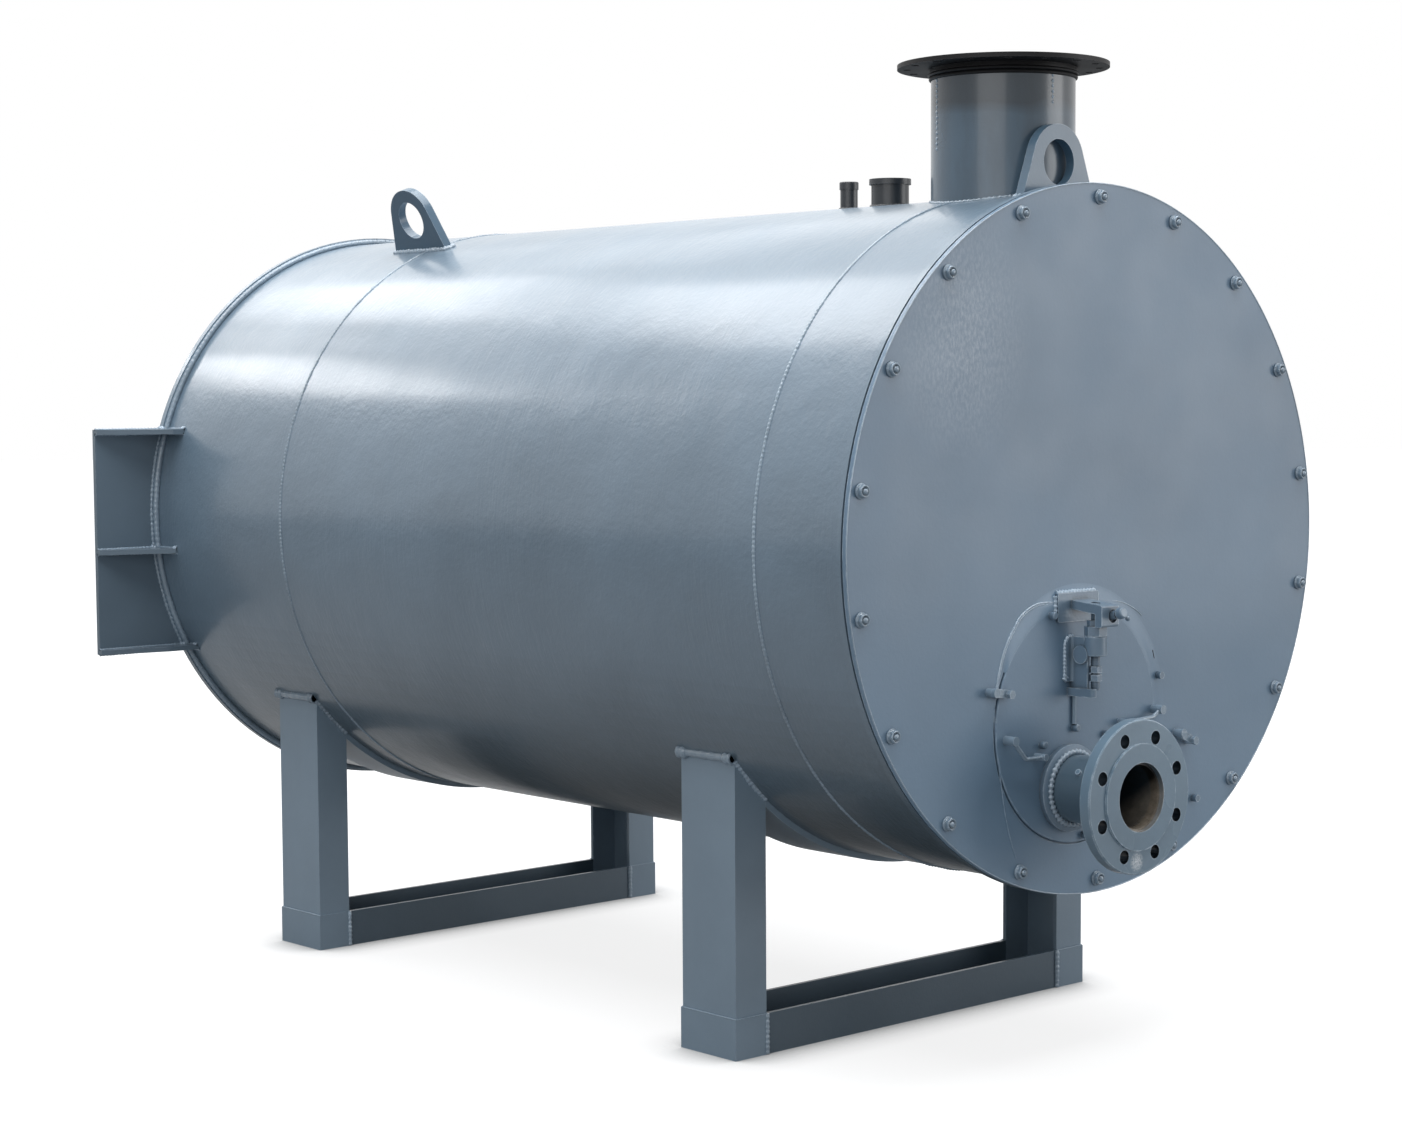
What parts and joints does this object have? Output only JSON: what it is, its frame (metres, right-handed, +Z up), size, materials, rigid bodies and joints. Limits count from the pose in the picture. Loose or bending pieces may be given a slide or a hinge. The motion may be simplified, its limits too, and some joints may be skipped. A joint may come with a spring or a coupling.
{
  "type": "industrial boiler",
  "caption": "Horizontal cylindrical industrial boiler with a bolted front cover, a flanged inlet, a flanged smoke stack, lifting lugs and channel legs.",
  "frame": {"origin": "on the floor, at the middle of the front crossbar's sole, under the shell's axis", "axes": "+Z up; +Y along the shell, from the bolted front cover towards the rear plate; +X to the right as seen from the front"},
  "size_m": [1.0355, 1.752, 1.33],
  "materials": {
    "body": "gloss blue-grey enamel over rolled plate",
    "frame": "satin blue-grey enamel over folded channel",
    "stack": "gloss dark blue-grey enamel",
    "black": "satin black",
    "nozzle": "dark grey enamel",
    "inlet": "gloss dark blue-grey enamel",
    "gasket": "flat black sheet"
  },
  "bodies": {
    "root": {"shell_front_course": "body", "shell_middle_course": "body", "shell_rear_course": "body", "front_seam_weld": "body", "rear_seam_weld": "body", "front_flange_ring": "body", "front_cover": "body", "cover_nuts": "body", "rear_end_plate": "body", "side_bracket_plate": "body", "bracket_top_gusset": "body", "bracket_middle_gusset": "body", "bracket_bottom_gusset": "body", "front_lifting_lug": "body", "rear_lifting_lug": "body", "inspection_door": "body", "hinge_block": "body", "hinge_strap": "body", "hinge_rod": "body", "hinge_nuts": "body", "hinge_sleeve": "body", "hinge_bracket": "body", "hinge_screw": "body", "door_rod": "body", "left_dog": "body", "right_dog": "body", "left_handle": "body", "right_handle": "body", "small_studs": "body", "inlet_collar": "body", "front_left_leg": "frame", "front_right_leg": "frame", "front_crossbar": "frame", "front_saddle_strap": "frame", "rear_left_leg": "frame", "rear_right_leg": "frame", "rear_crossbar": "frame", "rear_saddle_strap": "frame", "foot_plates": "frame", "stack_pipe": "stack", "stack_collar": "black", "stack_flange": "black", "large_nozzle": "nozzle", "small_nozzle": "nozzle", "small_nozzle_cap": "nozzle", "inlet_pipe": "inlet", "inlet_flange": "inlet", "cover_gasket": "gasket"}
  },
  "joints": []
}
